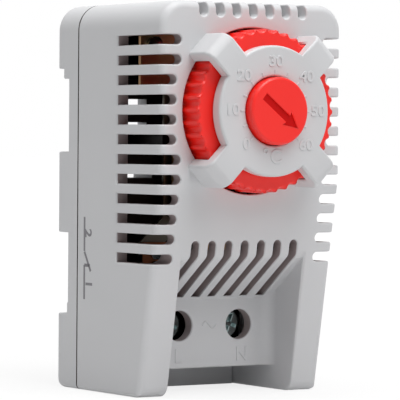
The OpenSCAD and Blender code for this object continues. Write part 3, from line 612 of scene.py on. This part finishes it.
# Raised letters beside the terminals, and the sign for alternating current between the screw holes
terminalMarks = {
    "letters": [("L", -1), ("N", 1)],
    "height": 2.1,
    "drop": 4.65,  # from the screw's axis down to the letter's middle
    "outset": 0.35,  # letters stand a little farther out than the screws
    "shift": 0.22,  # and both a little to the right
    "rise": 0.14,
    "bolder": 0.05,
    "waveWidth": 2.6,
    "waveHeight": 0.5,
    "waveStroke": 0.3,
    "waveSteps": 16,
}
faceSeat = terminalFace - terminalMarks["rise"] * mm / 2 + markSink
letterX = screwX + terminalMarks["outset"] * mm
letterHeight = screwHeight - terminalMarks["drop"] * mm
terminalParts = []
for words, side in terminalMarks["letters"]:
    letter = textMesh(words, terminalMarks["height"], terminalMarks["rise"],
                      terminalMarks["bolder"])
    place = onFront(side * letterX + terminalMarks["shift"] * mm, faceSeat, letterHeight)
    terminalParts.append((letter, place))
waveSteps = terminalMarks["waveSteps"]
wave = [Vector((terminalMarks["waveWidth"] * (i / waveSteps - 0.5),
                terminalMarks["waveHeight"] * math.sin(2 * math.pi * i / waveSteps))) * mm
        for i in range(waveSteps + 1)]
terminalParts.append((bandMesh(wave, terminalMarks["waveStroke"], terminalMarks["rise"]),
                      onFront(0, faceSeat, screwHeight)))
gather("terminal_letters", terminalParts, casePlastic)

# Contact symbol printed on the left side: a switch between two leads, numbered 1 and 2
sidePrint = {
    "proud": 0.012,  # thickness of the ink on the plastic
    "stroke": 0.5,
    "bolder": 0.06,
    # each stroke from one point to the next, as (depth behind the front, height over the bottom)
    "strokes": [((22.1, 27.0), (22.1, 21.7)), ((22.1, 21.6), (20.2, 18.6)),
                ((20.4, 19.5), (22.1, 19.5)), ((22.1, 19.5), (22.1, 14.2))],
    "numbers": [("2", (20.9, 24.5)), ("1", (20.7, 16.6))],
    "numberHeight": 2.0,
}
# XY drawings face the left, their X running forwards
onLeft = Matrix(((0, 0, -1, coverLow.x - sidePrint["proud"] * mm / 2), (-1, 0, 0, frontPlane),
                 (0, 1, 0, coverLow.z), (0, 0, 0, 1)))
turned = Matrix.Rotation(math.radians(-90), 4, "Z")  # the numbers read downwards


def sidePlace(point):
    # drawing point on the left side, from depth and height
    return Vector((-point[0], point[1])) * mm


printParts = []
for ends in sidePrint["strokes"]:
    line = bandMesh([sidePlace(end) for end in ends], sidePrint["stroke"], sidePrint["proud"])
    printParts.append((line, onLeft))
for words, point in sidePrint["numbers"]:
    spot = sidePlace(point)
    number = textMesh(words, sidePrint["numberHeight"], sidePrint["proud"], sidePrint["bolder"])
    printParts.append((number, onLeft @ (Matrix.Translation((spot.x, spot.y, 0)) @ turned)))
gather("contact_symbol", printParts, printInk)
print("numbers, letters and print made")

# Camera at the photograph's viewing angle, fitted to the 400 by 400 frame
view = {
    "target": (0, -17.3, -1),
    "azimuth": -32.934,  # degrees from straight ahead, minus is to the left
    "elevation": 1.25,
    "roll": 0.43,
    "distance": 447.49,
    "shiftRight": -2.524,  # the whole camera moves beside its own axis
    "shiftUp": -0.225,
    "focalPixels": 2887.9,  # focal length in pixels of the frame
    "framePixels": 400,
    "sensor": 36,
    "clipStart": 10,
}
azimuth, elevation, roll = (math.radians(view[k]) for k in ("azimuth", "elevation", "roll"))
back = Vector((math.sin(azimuth) * math.cos(elevation), -math.cos(azimuth) * math.cos(elevation),
               math.sin(elevation)))
right = Vector((math.cos(azimuth), math.sin(azimuth), 0))
up = back.cross(right)
rightRolled = right * math.cos(roll) + up * math.sin(roll)
upRolled = up * math.cos(roll) - right * math.sin(roll)
cameraData = bpy.data.cameras.new("camera")
cameraData.sensor_width = view["sensor"]
cameraData.lens = view["sensor"] * view["focalPixels"] / view["framePixels"]
cameraData.clip_start = view["clipStart"] * mm
camera = bpy.data.objects.new("camera", cameraData)
scene.collection.objects.link(camera)
eye = (Vector(view["target"]) + back * view["distance"] + right * view["shiftRight"]
       + up * view["shiftUp"]) * mm
camera.matrix_world = Matrix((
    (rightRolled.x, upRolled.x, back.x, eye.x),
    (rightRolled.y, upRolled.y, back.y, eye.y),
    (rightRolled.z, upRolled.z, back.z, eye.z),
    (0, 0, 0, 1)))
scene.camera = camera

# Studio, in metres and watts: pale floor, and two soft lamps, one overhead and one above the front
studio = {
    "floorHalf": 4.0,  # half the floor's side
    "floorWhite": 0.8,
    "floorRoughness": 0.9,
    "floorGlow": 1.04,  # bright enough that the paper meets the background without a line
    "shadowShare": 0.22,  # how much of the floor's own shading shows beside the object
    "shadowReach": (0.05, 0.3),  # and where that starts to fade, and ends
    "world": 0.2,  # soft light from all sides
    "lamps": [
        {"name": "overhead", "place": (-0.05, -0.05, 0.6), "size": 0.5, "power": 2.75},
        {"name": "frontHigh", "place": (0.05, -0.35, 0.5), "size": 0.4, "power": 1.95},
    ],
}


def seenDirectly(tree):
    # 1 for rays that show the background itself: from the camera, in reflections and through glass
    path = addNode(tree, "ShaderNodeLightPath")
    either = addNode(tree, "ShaderNodeMath", {}, {
        0: path.outputs["Is Camera Ray"], 1: path.outputs["Is Glossy Ray"]}, operation="MAXIMUM")
    anyRay = addNode(tree, "ShaderNodeMath", {}, {
        0: either.outputs[0], 1: path.outputs["Is Transmission Ray"]}, operation="MAXIMUM")
    return anyRay.outputs[0]


world = bpy.data.worlds.new("studio")
scene.world = world
world.use_nodes = True
worldTree = world.node_tree
background = worldTree.nodes["Background"]
background.inputs["Color"].default_value = (1, 1, 1, 1)
strength = addNode(worldTree, "ShaderNodeMapRange", {"To Min": studio["world"], "To Max": 1.0},
                   {"Value": seenDirectly(worldTree)})
worldTree.links.new(strength.outputs["Result"], background.inputs["Strength"])

floorMaterial = bpy.data.materials.new("paleFloor")  # white paper sweep, matt
floorMaterial.use_nodes = True
floorTree = floorMaterial.node_tree
floorShader = floorTree.nodes["Principled BSDF"]
white = studio["floorWhite"]
floorShader.inputs["Base Color"].default_value = (white, white, white, 1)
floorShader.inputs["Roughness"].default_value = studio["floorRoughness"]
glow = addNode(floorTree, "ShaderNodeEmission", {
    "Color": (1, 1, 1, 1), "Strength": studio["floorGlow"]})
away = addNode(floorTree, "ShaderNodeVectorMath", {},
               {0: addNode(floorTree, "ShaderNodeTexCoord").outputs["Object"]}, operation="LENGTH")
near, far = studio["shadowReach"]
glowing = addNode(floorTree, "ShaderNodeMapRange", {
    "From Min": near, "From Max": far,
    "To Min": 1 - studio["shadowShare"], "To Max": 1.0}, {"Value": away.outputs["Value"]})
share = addNode(floorTree, "ShaderNodeMath", {}, {
    0: seenDirectly(floorTree), 1: glowing.outputs["Result"]}, operation="MULTIPLY")
mixed = addNode(floorTree, "ShaderNodeMixShader", {}, {
    0: share.outputs[0], 1: floorShader.outputs["BSDF"], 2: glow.outputs["Emission"]})
floorTree.links.new(mixed.outputs[0], floorTree.nodes["Material Output"].inputs["Surface"])
floorData = bpy.data.meshes.new("floor")
reach = studio["floorHalf"]
corners = [(-reach, -reach), (reach, -reach), (reach, reach), (-reach, reach)]
floorData.from_pydata([(x, y, floorHeight) for x, y in corners], [], [(0, 1, 2, 3)])
floorData.materials.append(floorMaterial)
floor = bpy.data.objects.new("floor", floorData)
scene.collection.objects.link(floor)

for lamp in studio["lamps"]:
    lightData = bpy.data.lights.new(lamp["name"], "AREA")
    lightData.size = lamp["size"]
    lightData.energy = lamp["power"]
    light = bpy.data.objects.new(lamp["name"], lightData)
    scene.collection.objects.link(light)
    light.location = lamp["place"]
    light.rotation_euler = (-Vector(lamp["place"])).to_track_quat("-Z", "Y").to_euler()
scene.view_settings.view_transform = "Standard"
print("camera, floor and lamps set")
